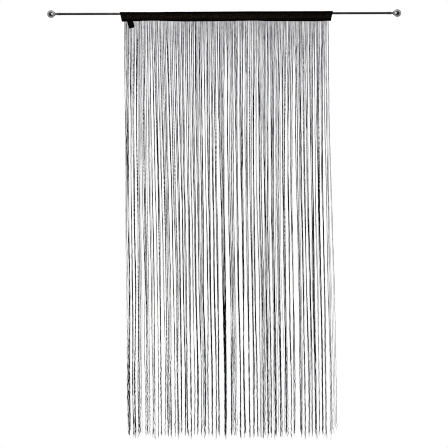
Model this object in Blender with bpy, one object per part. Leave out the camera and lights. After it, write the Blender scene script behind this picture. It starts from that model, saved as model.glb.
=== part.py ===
"""A string curtain hanging from its rod, at rest.

Units are metres. X runs along the rod, +Z is up and the front faces -Y. The origin is on the
rod's axis, half-way between the centres of the two ball finials.

The curtain is a cloth heading, which is a sleeve that the rod runs through, and a fringe of
strings that is sewn into the slot along the sleeve's lower edge. The strings hang in bundles,
so the fringe is one comb: a spine inside the slot, and one tooth for each bundle.
"""

import math
from collections import namedtuple

import bmesh
import bpy
from mathutils import Matrix, Vector

MM = 0.001
GAP = 0.3 * MM  # between two pieces that touch

# Rod: a thin steel tube with a ball finial plugged into each end.
ROD_RADIUS = 5.5 * MM
ROD_WALL = 0.8 * MM
ROUND_SIDES = 32
BALL_CENTRE = 812 * MM  # from the origin
BALL_RADIUS = 18 * MM
BALL_RINGS = 14
FLARE_RADIUS = 9 * MM  # where the finial's neck meets the ball
FLARE_LENGTH = 6 * MM
GROOVE_RADIUS = 4.8 * MM
GROOVE_LENGTH = 8 * MM
COLLAR_RADIUS = 6.3 * MM
COLLAR_LENGTH = 17 * MM
COLLAR_CHAMFER = 0.8 * MM
SPIGOT_LENGTH = 20 * MM
SPIGOT_CHAMFER = 0.8 * MM
BALL_FRONT = math.sqrt(BALL_RADIUS**2 - FLARE_RADIUS**2)  # from its centre to the flare
ROD_END = BALL_CENTRE - BALL_FRONT - FLARE_LENGTH - GROOVE_LENGTH - COLLAR_LENGTH - GAP

# Heading: two layers of knitted tape that hang from the rod and close to a band below it.
HEADING_LEFT = -490 * MM
HEADING_RIGHT = 510 * MM
END_SLANT = 10 * MM  # how much further in the lower corner of each end hangs
CLOTH = 1.4 * MM
SLEEVE_HALF = ROD_RADIUS + GAP + CLOTH + 0.3 * MM  # the sleeve's half depth beside the rod
BAND_HALF = 1.9 * MM
BAND_DEPTH = 9 * MM
SLOT_HALF = 0.8 * MM
SLOT_DEPTH = 6 * MM
HEADING_STATIONS = 28
ARC_STEPS = 6
FLANK_STEPS = 7

HeadingEdge = namedtuple("HeadingEdge", "along rise_mm drop_mm")
HEADING_EDGES = (  # how far the sleeve reaches above and below the rod's axis, left to right
    HeadingEdge(0.00, 8.3, 36.7),
    HeadingEdge(0.14, 7.8, 32.8),
    HeadingEdge(0.31, 9.0, 36.8),
    HeadingEdge(0.40, 9.3, 36.5),
    HeadingEdge(0.50, 9.7, 36.0),
    HeadingEdge(0.62, 10.1, 34.1),
    HeadingEdge(0.73, 9.8, 36.7),
    HeadingEdge(0.92, 10.0, 37.8),
    HeadingEdge(1.00, 10.1, 35.6),
)

# Tab: a short tape, folded double and sewn to the heading's face near its left end.
TAB_WIDTH = 26 * MM
TAB_LENGTH = 40 * MM
TAB_LAYER = 0.6 * MM
TAB_BETWEEN = 0.3 * MM
TAB_TILT = math.radians(13)
TAB_LOW_X = -433 * MM
TAB_LOW_Z = -67 * MM
TAB_BACK = -(BAND_HALF + 0.4 * MM)

# Fringe: where its outermost strings leave the heading and where they end.
FRINGE_TOP_LEFT = -469 * MM
FRINGE_TOP_RIGHT = 489 * MM
FRINGE_LOW_LEFT = -464 * MM
FRINGE_LOW_RIGHT = 517 * MM
FRINGE_BOTTOM = -1993 * MM  # the longest tips
TIPS_UNEVEN = 36 * MM
SPINE_HALF = SLOT_HALF - GAP
SPINE_TOP = 0.3 * MM  # below the roof of the slot
SPINE_BELOW = 3 * MM  # below the heading's lower edge
TOOTH_HALF = 1.5 * MM
GAP_AT_TOP = 1.2 * MM
SMALL_GAP_LOW = 7 * MM
SWAY = 4 * MM
DEPTH_SWAY = 3 * MM
TOOTH_RINGS = 12

Parting = namedtuple("Parting", "low_mm open_mm bundles")
PARTINGS = (  # the clearest gaps at the bottom, and the bundles between each and the one before
    Parting(-443, 12, 1),
    Parting(-387, 18, 3),
    Parting(-349, 18, 1),
    Parting(-291, 15, 3),
    Parting(-197, 15, 5),
    Parting(-138, 12, 3),
    Parting(-19, 15, 6),
    Parting(21, 12, 1),
    Parting(59, 12, 2),
    Parting(82, 12, 1),
    Parting(124, 13, 2),
    Parting(223, 12, 5),
    Parting(272, 15, 2),
    Parting(298, 12, 1),
    Parting(338, 24, 2),
    Parting(364, 12, 1),
    Parting(382, 11, 1),
    Parting(401, 12, 1),
    Parting(481, 10, 4),
    Parting(496, 7, 1),
    Parting(517, 0, 2),  # the fringe's right edge
)

Finish = namedtuple("Finish", "name colour roughness metallic")
STEEL = Finish("brushed_steel", (0.42, 0.42, 0.43, 1), 0.30, 1.0)
TAPE = Finish("black_tape", (0.010, 0.008, 0.007, 1), 0.85, 0.0)
YARN = Finish("black_yarn", (0.012, 0.012, 0.014, 1), 0.70, 0.0)


def clear_scene():
    for obj in list(bpy.data.objects):
        bpy.data.objects.remove(obj, do_unlink=True)


def material_of(finish):
    found = bpy.data.materials.get(finish.name)
    if found:
        return found
    made = bpy.data.materials.new(finish.name)
    made.use_nodes = True
    shader = made.node_tree.nodes["Principled BSDF"]
    shader.inputs["Base Color"].default_value = finish.colour
    shader.inputs["Roughness"].default_value = finish.roughness
    shader.inputs["Metallic"].default_value = finish.metallic
    made.diffuse_color = finish.colour
    return made


def add_object(name, bm, finish, smooth_angle=None):
    bmesh.ops.recalc_face_normals(bm, faces=bm.faces)
    mesh = bpy.data.meshes.new(name)
    bm.to_mesh(mesh)
    bm.free()
    mesh.materials.append(material_of(finish))
    if smooth_angle is not None:
        mesh.shade_smooth()
        mesh.set_sharp_from_angle(angle=smooth_angle)
    obj = bpy.data.objects.new(name, mesh)
    bpy.context.scene.collection.objects.link(obj)
    return obj


def skin(bm, rings, closed=True):
    """Joins neighbouring rings of vertices with quads. A closed ring's last vertex meets its first."""
    for here, after in zip(rings, rings[1:]):
        steps = len(here) if closed else len(here) - 1
        for k in range(steps):
            n = (k + 1) % len(here)
            bm.faces.new((here[k], here[n], after[n], after[k]))


def smooth_step(t):
    return t * t * (3 - 2 * t)


def mix(a, b, t):
    return a + (b - a) * t


# ---------------------------------------------------------------- rod and finials


def turned(name, profile, finish):
    """A solid turned about X from (x, radius) pairs. A radius of 0 at an end makes a pole."""
    bm = bmesh.new()
    rings = []
    for x, radius in profile:
        if radius == 0:
            rings.append([bm.verts.new((x, 0, 0))])
            continue
        turn = [2 * math.pi * k / ROUND_SIDES for k in range(ROUND_SIDES)]
        rings.append([bm.verts.new((x, radius * math.cos(a), radius * math.sin(a))) for a in turn])
    for here, after in zip(rings, rings[1:]):
        if len(here) == 1 or len(after) == 1:
            pole, ring = (here[0], after) if len(here) == 1 else (after[0], here)
            for k in range(ROUND_SIDES):
                bm.faces.new((pole, ring[k], ring[(k + 1) % ROUND_SIDES]))
        else:
            skin(bm, [here, after])
    return add_object(name, bm, finish, math.radians(35))


def build_rod():
    bore = ROD_RADIUS - ROD_WALL
    wall = [(-ROD_END, bore), (-ROD_END, ROD_RADIUS), (ROD_END, ROD_RADIUS), (ROD_END, bore)]
    return turned("rod", wall + wall[:1], STEEL)


def finial_profile():
    """From the spigot's tip inside the tube out to the ball's far pole, along +X."""
    spigot = ROD_RADIUS - ROD_WALL - GAP
    collar = ROD_END + GAP
    groove = collar + COLLAR_LENGTH
    flare = groove + GROOVE_LENGTH
    tip = ROD_END - SPIGOT_LENGTH
    profile = [
        (tip, 0),
        (tip, spigot - SPIGOT_CHAMFER),
        (tip + SPIGOT_CHAMFER, spigot),
        (collar, spigot),
        (collar, COLLAR_RADIUS - COLLAR_CHAMFER),
        (collar + COLLAR_CHAMFER, COLLAR_RADIUS),
        (groove - COLLAR_CHAMFER, COLLAR_RADIUS),
        (groove, COLLAR_RADIUS - COLLAR_CHAMFER),
        (groove, GROOVE_RADIUS),
        (flare, GROOVE_RADIUS),
        (flare + FLARE_LENGTH / 3, mix(GROOVE_RADIUS, FLARE_RADIUS, 0.7)),
        (flare + FLARE_LENGTH * 2 / 3, FLARE_RADIUS * 0.97),
    ]
    start = math.asin(FLARE_RADIUS / BALL_RADIUS)
    for k in range(BALL_RINGS):
        a = mix(start, math.pi, k / BALL_RINGS)
        profile.append((BALL_CENTRE - BALL_RADIUS * math.cos(a), BALL_RADIUS * math.sin(a)))
    profile.append((BALL_CENTRE + BALL_RADIUS, 0))
    return profile


def build_finials():
    turned("finial_right", finial_profile(), STEEL)
    left = turned("finial_left", finial_profile(), STEEL)
    left.rotation_euler.z = math.pi


# ---------------------------------------------------------------- heading


def edges_at(along):
    """How far the heading reaches above and below the rod's axis at this share of its width."""
    along = min(max(along, 0.0), 1.0)
    for a, b in zip(HEADING_EDGES, HEADING_EDGES[1:]):
        if along <= b.along:
            break
    t = smooth_step((along - a.along) / (b.along - a.along))
    return mix(a.rise_mm, b.rise_mm, t) * MM, mix(a.drop_mm, b.drop_mm, t) * MM


def drop_at(x):
    """The heading's lower edge, below the rod's axis, at this X."""
    left, right = HEADING_LEFT + END_SLANT, HEADING_RIGHT - END_SLANT
    return edges_at((x - left) / (right - left))[1]


def layer_outline(rise, drop, inset):
    """(y, z) from the top down the front of one surface of the cloth, inset from its outer one."""
    depth, height, foot = SLEEVE_HALF - inset, rise - inset, BAND_HALF - inset
    arc = [math.pi / 2 * k / ARC_STEPS for k in range(ARC_STEPS + 1)]
    points = [(-depth * math.sin(a), height * math.cos(a)) for a in arc]
    for k in range(1, FLANK_STEPS + 1):
        t = k / FLANK_STEPS
        points.append((-mix(depth, foot, smooth_step(t)), -(drop - BAND_DEPTH) * t))
    return points


def mirrored_ring(front):
    """The front half of an outline and its mirror image as one ring, from the top and round."""
    back = [(-y, z) for y, z in reversed(front) if abs(y) > 1e-9]
    return front + back


def heading_rings(along):
    """The outer ring, with the slot for the fringe in its foot, and the ring of the hollow."""
    rise, drop = edges_at(along)
    outer = layer_outline(rise, drop, 0)
    outer += [(-BAND_HALF, -drop), (-SLOT_HALF, -drop), (-SLOT_HALF, -(drop - SLOT_DEPTH))]
    return mirrored_ring(outer), mirrored_ring(layer_outline(rise, drop, CLOTH)), rise, drop


def build_heading():
    bm = bmesh.new()
    outside, hollow = [], []
    for k in range(HEADING_STATIONS + 1):
        along = k / HEADING_STATIONS
        outer, inner, rise, drop = heading_rings(along)

        def placed(ring):
            made = []
            for y, z in ring:
                inward = END_SLANT * (rise - z) / (rise + drop)
                x = mix(HEADING_LEFT + inward, HEADING_RIGHT - inward, along)
                made.append(bm.verts.new((x, y, z)))
            return made

        outside.append(placed(outer))
        hollow.append(placed(inner))
    skin(bm, outside)
    skin(bm, hollow)
    for outer, inner in ((outside[0], hollow[0]), (outside[-1], hollow[-1])):
        rim = [bm.edges.get((r[k], r[k - 1])) for r in (outer, inner) for k in range(len(r))]
        bmesh.ops.triangle_fill(bm, edges=rim, use_beauty=True)
    return add_object("heading", bm, TAPE, math.radians(40))


# ---------------------------------------------------------------- tab


def build_tab():
    """One tape, folded double: a hairpin section in Y and Z, as wide as the tape in X."""
    deep = 2 * TAB_LAYER + TAB_BETWEEN
    fold = TAB_LAYER + TAB_BETWEEN / 2
    section = [
        (0, TAB_LENGTH),
        (0, fold),
        (-deep * 0.15, fold * 0.3),
        (-deep * 0.5, 0),
        (-deep * 0.85, fold * 0.3),
        (-deep, fold),
        (-deep, TAB_LENGTH),
        (-deep + TAB_LAYER, TAB_LENGTH),
        (-deep + TAB_LAYER, fold),
        (-TAB_LAYER, fold),
        (-TAB_LAYER, TAB_LENGTH),
    ]
    bm = bmesh.new()
    ends = []
    for x in (-TAB_WIDTH / 2, TAB_WIDTH / 2):
        ends.append([bm.verts.new((x, y, z)) for y, z in section])
    skin(bm, ends)
    for ring in ends:
        bm.faces.new(ring)
    tab = add_object("tab", bm, TAPE)
    tab.location = (TAB_LOW_X, TAB_BACK, TAB_LOW_Z)
    tab.rotation_euler.y = -TAB_TILT
    return tab


# ---------------------------------------------------------------- fringe


def all_partings():
    """(low X, low width) of every gap between bundles, left to right, without the fringe's edges."""
    found = []
    before = FRINGE_LOW_LEFT
    for row in PARTINGS:
        low = row.low_mm * MM
        for k in range(1, row.bundles):
            width = SMALL_GAP_LOW * (1 + 0.25 * math.sin(2.6 * len(found)))
            found.append((mix(before, low, k / row.bundles), width))
        found.append((low, row.open_mm * MM))
        before = low
    return found[:-1]


def parting_at(low, width, fall):
    """(X, width) of a gap at a share of the fringe's fall, from the heading's edge down."""
    along = (low - FRINGE_LOW_LEFT) / (FRINGE_LOW_RIGHT - FRINGE_LOW_LEFT)
    top = mix(FRINGE_TOP_LEFT, FRINGE_TOP_RIGHT, along)
    sway = SWAY * fall * math.sin(2.4 * math.pi * fall + 6 * along)
    opened = 1 - (1 - fall) ** 3
    return mix(top, low, smooth_step(fall)) + sway, mix(GAP_AT_TOP, width, opened)


def tooth_length(index):
    """How far this bundle's tips reach, from the rod's axis."""
    short = 0.5 + 0.5 * math.sin(1.9 * index + 0.8 * math.sin(0.7 * index))
    return -FRINGE_BOTTOM - TIPS_UNEVEN * short


def comb_edges(fall):
    """The left and right X of each tooth at a share of the fall."""
    gaps = [parting_at(low, width, fall) for low, width in all_partings()]
    left = parting_at(FRINGE_LOW_LEFT, 0, fall)[0]
    right = parting_at(FRINGE_LOW_RIGHT, 0, fall)[0]
    starts = [left] + [x + width / 2 for x, width in gaps]
    ends = [x - width / 2 for x, width in gaps] + [right]
    return list(zip(starts, ends))


def tooth_ring(bm, edges, fall, z, half):
    """Four vertices across a tooth: front left, front right, back right, back left."""
    left, right = edges
    y = DEPTH_SWAY * fall * math.sin(1.3 * math.pi * fall + 9 * (left + right))
    corners = ((left, y - half), (right, y - half), (right, y + half), (left, y + half))
    return [bm.verts.new((x, y, z)) for x, y in corners]


def build_fringe():
    bm = bmesh.new()
    columns = [comb_edges(k / TOOTH_RINGS) for k in range(TOOTH_RINGS + 1)]
    before = None
    for index, edges in enumerate(columns[0]):
        # The spine: an upper and a lower edge at each side of the tooth, inside the slot.
        upper, rings = [], [tooth_ring(bm, edges, 0, 0, SPINE_HALF)]
        for vertex in rings[0]:
            drop = drop_at(vertex.co.x)
            vertex.co.z = -drop - SPINE_BELOW
            upper.append(bm.verts.new((vertex.co.x, vertex.co.y, -drop + SLOT_DEPTH - SPINE_TOP)))
        top = rings[0][0].co.z
        long = tooth_length(index)
        for k in range(1, TOOTH_RINGS + 1):
            fall = k / TOOTH_RINGS
            rings.append(tooth_ring(bm, columns[k][index], fall, mix(top, -long, fall), TOOTH_HALF))
        skin(bm, rings)
        bm.faces.new(rings[-1])
        bm.faces.new(upper)
        spine = (upper, rings[0])
        for a, b in ((0, 1), (2, 3)):
            bm.faces.new((upper[a], upper[b], rings[0][b], rings[0][a]))
        if before is None:
            bm.faces.new((upper[3], upper[0], rings[0][0], rings[0][3]))
        else:
            bridge_spine(bm, before, spine)
        before = spine
    upper, lower = before
    bm.faces.new((upper[1], upper[2], lower[2], lower[1]))
    return add_object("strings", bm, YARN)


def bridge_spine(bm, before, after):
    """The spine's front, back, top and underside between one tooth and the next."""
    (up_a, low_a), (up_b, low_b) = before, after
    bm.faces.new((up_a[1], up_b[0], low_b[0], low_a[1]))
    bm.faces.new((up_a[2], up_b[3], low_b[3], low_a[2]))
    bm.faces.new((up_a[1], up_b[0], up_b[3], up_a[2]))
    bm.faces.new((low_a[1], low_b[0], low_b[3], low_a[2]))


def main():
    clear_scene()
    build_rod()
    build_finials()
    build_heading()
    build_tab()
    build_fringe()


main()
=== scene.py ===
"""A string curtain on its rod: cloth heading, loose strings, tab, steel rod and ball finials.

Units are metres, in the part's own frame: X runs along the rod, +Z is up and the front faces -Y.
The origin is on the rod's axis, half-way between the centres of the two balls.
"""

import math
from collections import namedtuple

import bmesh
import bpy
import numpy as np
from mathutils import Matrix, Vector, noise


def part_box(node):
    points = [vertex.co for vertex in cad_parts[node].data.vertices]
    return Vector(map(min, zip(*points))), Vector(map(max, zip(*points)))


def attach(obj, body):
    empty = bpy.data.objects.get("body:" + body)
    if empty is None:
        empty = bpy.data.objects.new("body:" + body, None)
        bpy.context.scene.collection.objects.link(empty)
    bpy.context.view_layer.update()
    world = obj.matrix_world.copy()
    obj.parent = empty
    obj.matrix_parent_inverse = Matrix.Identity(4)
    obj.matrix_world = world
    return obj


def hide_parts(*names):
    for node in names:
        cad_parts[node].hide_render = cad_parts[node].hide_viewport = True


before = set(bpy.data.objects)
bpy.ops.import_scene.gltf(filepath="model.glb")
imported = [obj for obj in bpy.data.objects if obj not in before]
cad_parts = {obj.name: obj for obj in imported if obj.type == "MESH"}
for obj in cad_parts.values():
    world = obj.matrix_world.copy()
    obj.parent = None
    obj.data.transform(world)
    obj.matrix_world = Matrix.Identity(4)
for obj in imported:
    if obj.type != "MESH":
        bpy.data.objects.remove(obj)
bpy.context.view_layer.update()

MM = 0.001

# Where the part's own pieces lie.
ROD_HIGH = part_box("rod")[1]
FINIAL_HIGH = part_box("finial_right")[1]
HEADING_LOW, HEADING_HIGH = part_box("heading")
FRINGE_LOW, FRINGE_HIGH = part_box("strings")
TAB_LOW, TAB_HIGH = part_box("tab")

# Rod: a tube, and in each end of it a finial turned from one piece.
ROD_RADIUS = ROD_HIGH.z
ROD_END = ROD_HIGH.x
ROD_WALL = 0.8 * MM
ROD_LIP = 0.25 * MM  # the chamfer at its ends
FIT = 0.3 * MM  # between a finial and the tube
SPIGOT_LENGTH = 20 * MM
SPIGOT_CHAMFER = 0.8 * MM
COLLAR_LENGTH = 17 * MM  # with the bead
COLLAR_RADIUS = 6.2 * MM
BEAD_START = 12 * MM  # from the collar's end
BEAD_RADIUS = 6.6 * MM
NeckStep = namedtuple("NeckStep", "after_mm radius_mm")
NECK = (  # the groove, from the collar's end up to where it flares out to the ball
    NeckStep(0.6, 4.9),
    NeckStep(3.0, 4.6),
    NeckStep(6.5, 4.8),
    NeckStep(8.0, 5.6),
)
FLARE_RADIUS = 9 * MM  # where the neck meets the ball
BALL_RADIUS = FINIAL_HIGH.z
BALL_CENTRE = FINIAL_HIGH.x - BALL_RADIUS
BALL_START = BALL_CENTRE - math.sqrt(BALL_RADIUS**2 - FLARE_RADIUS**2)

# Heading: one tape, folded over the rod, with the strings caught between its lower edges.
END_SLANT = 10 * MM
CLOTH = 1.2 * MM
SLEEVE_HALF = HEADING_HIGH.y
BAND_HALF = 1.9 * MM
BAND_DEPTH = 9 * MM
HEADING_STATIONS = 400
SEAM_ROWS = (3 * MM, 7.5 * MM)  # above the lower edge
SEAM_INSET = 3 * MM  # from each end
BACK_APART = 0.2  # keeps the back's puckers from mirroring the front's

HeadingEdge = namedtuple("HeadingEdge", "along rise_mm drop_mm")
HEADING_EDGES = (  # how far the sleeve reaches above and below the rod's axis, left to right
    HeadingEdge(0.00, 8.3, 36.7),
    HeadingEdge(0.14, 7.8, 32.8),
    HeadingEdge(0.31, 9.0, 36.8),
    HeadingEdge(0.40, 9.3, 36.5),
    HeadingEdge(0.50, 9.7, 36.0),
    HeadingEdge(0.62, 10.1, 34.1),
    HeadingEdge(0.73, 9.8, 36.7),
    HeadingEdge(0.92, 10.0, 37.8),
    HeadingEdge(1.00, 10.1, 35.6),
)

# Tab: a short tape folded double.
TAB_WIDTH = 26.2 * MM
TAB_LENGTH = 40.5 * MM
TAB_LAYER = 0.55 * MM
TAB_BETWEEN = 0.5 * MM
TAB_FLARE = 1.13  # its width at the top over its width at the fold
TAB_TILT = math.radians(13)
TAB_LOW_X = -433.7 * MM
TAB_LOW_Z = TAB_LOW.z + 3 * MM

# Fringe: its outermost strings at the heading and at the tips.
FRINGE_TOP_LEFT = FRINGE_LOW.x
FRINGE_TOP_RIGHT = 489 * MM
FRINGE_LOW_LEFT = -458 * MM
FRINGE_LOW_RIGHT = FRINGE_HIGH.x

Spread = namedtuple("Spread", "share low_mm")
SPREADS = (  # how thickly the strings gather at the tips: the share of them left of each place
    Spread(0.000, -464),
    Spread(0.005, -455),
    Spread(0.065, -406),
    Spread(0.135, -314),
    Spread(0.177, -266),
    Spread(0.287, -173),
    Spread(0.491, 15),
    Spread(0.689, 201),
    Spread(0.796, 295),
    Spread(0.873, 388),
    Spread(0.982, 482),
    Spread(1.000, 522),
)

# Most counts, shares, lengths and drifts of the hang below were found by a search that matched a
# reference curtain, and were rounded. Some were changed after it.
STRINGS = 371
STRING_DIAMETER = 1.74 * MM
STRING_PIECES = 4
CAUGHT = 6 * MM  # how far the strings reach up into the heading
CLUSTERS = 102  # strings that leave the heading side by side and stay together
ENTWINED_PAIRS = 16
TIPS_MEAN = 26 * MM  # above the longest tip
TIPS_UNEVEN = 13 * MM
TIPS_RANGE = 70 * MM
HANG_STEPS = 64
HANG_SEED = 374  # picked from the first 1000 seeds for its likeness to the reference curtain

LOOSE_SHARE = 0.113  # of the strings go their own way between the clusters and bundles
LOOSE_CLING = 0.12  # how much a loose string clings to its cluster
LOOSE_EDGE = 0.985  # the fringe's right edge, where all strings are loose
STRAY_SHARE = 0.082
STRAY_REACH = 3.4 * MM

# How far below the heading each of these has mostly set in.
GATHER_LENGTH = 0.82  # the strings are drawn into their bundles
CLING_LENGTH = 0.40
DRIFT_LENGTH = 0.35
DEPTH_LENGTH = 0.12

Drift = namedtuple("Drift", "spacing amount")  # metres between its turns, and how strong it is
BUNDLE_DRIFT = Drift(0.43, 2.0 * MM)
FILL_DRIFT = Drift(0.30, 0.11)  # of the share of its room that a bundle fills
CLING_DRIFT = Drift(0.30, 0.4)
OWN_DRIFT = Drift(0.58, 2.25 * MM)
CLUSTER_DRIFT = Drift(0.25, 0.7 * MM)
BUNDLE_DEPTH = Drift(0.40, 2.0 * MM)
OWN_DEPTH = Drift(0.18, 0.5 * MM)

Parting = namedtuple("Parting", "low_mm open_mm bundles")
PARTINGS = (  # the clearest gaps at the bottom, and the bundles between each and the one before
    Parting(-438, 9, 1),
    Parting(-387, 17, 4),
    Parting(-349, 17, 1),
    Parting(-291, 13, 4),
    Parting(-197, 12, 6),
    Parting(-138, 9, 4),
    Parting(-19, 13, 7),
    Parting(21, 9, 1),
    Parting(59, 9, 2),
    Parting(82, 9, 1),
    Parting(124, 10, 2),
    Parting(223, 9, 6),
    Parting(272, 13, 2),
    Parting(298, 9, 1),
    Parting(338, 22, 2),
    Parting(364, 9, 1),
    Parting(382, 8, 1),
    Parting(401, 9, 1),
    Parting(481, 8, 5),
    Parting(496, 6, 1),
    Parting(511, 5, 1),
    Parting(524, 0, 1),  # the fringe's right edge
)
SMALL_GAP = 8.0 * MM  # between two bundles where there is no clear gap


def mix(a, b, t):
    return a + (b - a) * t


def smooth_step(t):
    return t * t * (3 - 2 * t)


# ---------------------------------------------------------------- node trees


def add(tree, kind, settings=None, **inputs):
    """Adds a node. Each input is named by its label, with _ for a space, and is a value or a socket."""
    made = tree.nodes.new(kind)
    for name, value in (settings or {}).items():
        setattr(made, name, value)
    for label, value in inputs.items():
        feed(tree, made.inputs[label.replace("_", " ")], value)
    return made


def feed(tree, socket, value):
    if isinstance(value, bpy.types.NodeSocket):
        tree.links.new(value, socket)
    else:
        socket.default_value = value


def calc(tree, operation, *values, kind="ShaderNodeMath"):
    """A Math or Vector Math node's first output, from values or sockets."""
    made = tree.nodes.new(kind)
    made.operation = operation
    for socket, value in zip(made.inputs, values):
        feed(tree, socket, value)
    return made.outputs[0]


def vector_calc(tree, operation, *values):
    return calc(tree, operation, *values, kind="ShaderNodeVectorMath")


def in_step(tree, value, start, end, low=0.0, high=1.0):
    """The low value up to the start, the high one from the end on, and a smooth step between."""
    made = add(tree, "ShaderNodeMapRange", {"interpolation_type": "SMOOTHSTEP"}, Value=value)
    for label, number in (("From Min", start), ("From Max", end), ("To Min", low), ("To Max", high)):
        made.inputs[label].default_value = number
    return made.outputs[0]


def random_value(tree, low, high, identity, seed, draw=0):
    """A value for each identity. The draw's number tells apart the values that share a seed."""
    seed = calc(tree, "ADD", seed, draw) if draw else seed
    made = add(tree, "FunctionNodeRandomValue", {"data_type": "FLOAT"})
    for name, value in (("Min_001", low), ("Max_001", high), ("ID", identity), ("Seed", seed)):
        socket = next(s for s in made.inputs if s.identifier == name)
        feed(tree, socket, value)
    return next(s for s in made.outputs if s.identifier == "Value_001")


def growing_tree(name, **sizes):
    """An empty Geometry Nodes tree with a geometry input and one named input for each size."""
    tree = bpy.data.node_groups.new(name, "GeometryNodeTree")
    tree.interface.new_socket("Geometry", in_out="INPUT", socket_type="NodeSocketGeometry")
    for label, value in sizes.items():
        kind = "NodeSocketInt" if isinstance(value, int) else "NodeSocketFloat"
        socket = tree.interface.new_socket(label.replace("_", " "), in_out="INPUT", socket_type=kind)
        socket.default_value = value
    tree.interface.new_socket("Geometry", in_out="OUTPUT", socket_type="NodeSocketGeometry")
    return tree, tree.nodes.new("NodeGroupInput").outputs


def end_tree(tree, geometry, material):
    real = add(tree, "GeometryNodeRealizeInstances", Geometry=geometry)
    painted = add(tree, "GeometryNodeSetMaterial", Geometry=real.outputs[0], Material=material)
    out = tree.nodes.new("NodeGroupOutput")
    tree.links.new(painted.outputs[0], out.inputs[0])


def grow(name, guide, tree, **sizes):
    """Runs a tree on a guide mesh and keeps the result as a plain mesh object. The guide is removed."""
    holder = new_object(name + "_guide", guide)
    modifier = holder.modifiers.new("grow", "NODES")
    modifier.node_group = tree
    for item in tree.interface.items_tree:
        if item.name in sizes:
            modifier[item.identifier] = sizes[item.name]
    depsgraph = bpy.context.evaluated_depsgraph_get()
    evaluated = holder.evaluated_get(depsgraph)
    mesh = bpy.data.meshes.new_from_object(evaluated, preserve_all_data_layers=True, depsgraph=depsgraph)
    bpy.data.objects.remove(holder, do_unlink=True)
    mesh.name = name
    return new_object(name, mesh)


def new_object(name, mesh):
    obj = bpy.data.objects.new(name, mesh)
    bpy.context.scene.collection.objects.link(obj)
    return obj


def lines_mesh(name, lines):
    """A mesh of open chains of edges, one for each list of points."""
    points, edges = [], []
    for line in lines:
        start = len(points)
        points.extend(line)
        edges.extend((k, k + 1) for k in range(start, len(points) - 1))
    mesh = bpy.data.meshes.new(name)
    mesh.from_pydata(points, edges, [])
    return mesh


def settled(obj):
    """Applies the object's modifiers, so that its mesh is what shows."""
    depsgraph = bpy.context.evaluated_depsgraph_get()
    mesh = bpy.data.meshes.new_from_object(
        obj.evaluated_get(depsgraph), preserve_all_data_layers=True, depsgraph=depsgraph
    )
    obj.modifiers.clear()
    obj.data = mesh
    return obj


# ---------------------------------------------------------------- finishes


def new_material(name, colour, roughness, metallic=0.0, specular=0.5):
    material = bpy.data.materials.new(name)
    material.use_nodes = True
    tree = material.node_tree
    shader = tree.nodes["Principled BSDF"]
    shader.inputs["Base Color"].default_value = (*colour, 1)
    shader.inputs["Roughness"].default_value = roughness
    shader.inputs["Metallic"].default_value = metallic
    shader.inputs["Specular IOR Level"].default_value = specular
    material.diffuse_color = (*colour, 1)
    return material, tree, shader


def bump(tree, shader, height, strength, distance):
    made = add(tree, "ShaderNodeBump", Height=height, Strength=strength, Distance=distance)
    tree.links.new(made.outputs["Normal"], shader.inputs["Normal"])


def stretched_noise(tree, coordinates, stretch, detail=2.0, roughness=0.5):
    """Noise whose grain is 1 / stretch long along each axis."""
    placed = add(tree, "ShaderNodeMapping", Vector=coordinates, Scale=stretch)
    made = add(
        tree, "ShaderNodeTexNoise", Vector=placed.outputs[0], Scale=1.0, Detail=detail, Roughness=roughness
    )
    return made.outputs[0]


def ramp(tree, value, *stops):
    """A colour ramp from (position, colour) stops."""
    made = add(tree, "ShaderNodeValToRGB", Fac=value)
    elements = made.color_ramp.elements
    for k, (position, colour) in enumerate(stops):
        element = elements[k] if k < 2 else elements.new(position)
        element.position = position
        element.color = (*colour, 1)
    return made.outputs["Color"]


def yarn_finish(name, dark, light, twist_pitch, painted_light_tint=None):
    """Twisted yarn. It reads the strand's own UV: U round it, V along it in metres.

    painted_light_tint gives a second pair of colours, lighter and violet, as painted light which shows most
    near the heading and a little at the tips.
    """
    material, tree, shader = new_material(name, dark, 0.75, specular=0.03)
    uv = add(tree, "ShaderNodeUVMap", {"uv_map": "strand"}).outputs[0]
    split = add(tree, "ShaderNodeSeparateXYZ", Vector=uv)
    turns = calc(tree, "DIVIDE", split.outputs["Y"], twist_pitch)
    ply = calc(tree, "ADD", turns, calc(tree, "MULTIPLY", split.outputs["X"], 2))
    ridge = calc(tree, "SINE", calc(tree, "MULTIPLY", ply, math.tau))
    place = add(tree, "ShaderNodeTexCoord").outputs["Object"]
    fibres = stretched_noise(tree, place, (900, 900, 240), 3.0)
    bump(tree, shader, calc(tree, "ADD", ridge, calc(tree, "MULTIPLY", fibres, 1.2)), 0.7, 0.00025)
    patches = stretched_noise(tree, place, (160, 160, 14), 2.0)
    shade = calc(tree, "ADD", calc(tree, "MULTIPLY", ridge, 0.12), patches)
    colour = ramp(tree, shade, (0.35, dark), (0.75, light))
    # Painted light: the lighter, violet colours are blended in near the heading and, at half strength, near
    # the tips.
    if painted_light_tint:
        z = add(tree, "ShaderNodeSeparateXYZ", Vector=place).outputs["Z"]
        blend = add(tree, "ShaderNodeMix", {"data_type": "RGBA"})
        near_tips = calc(tree, "MULTIPLY", in_step(tree, z, -1.5, -1.75), 0.5)
        feed(tree, blend.inputs[0], calc(tree, "ADD", in_step(tree, z, -0.95, -0.15), near_tips))
        feed(tree, blend.inputs[6], colour)
        feed(tree, blend.inputs[7], ramp(tree, shade, (0.35, painted_light_tint[0]), (0.75, painted_light_tint[1])))
        colour = blend.outputs[2]
    tree.links.new(colour, shader.inputs["Base Color"])
    return material


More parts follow.
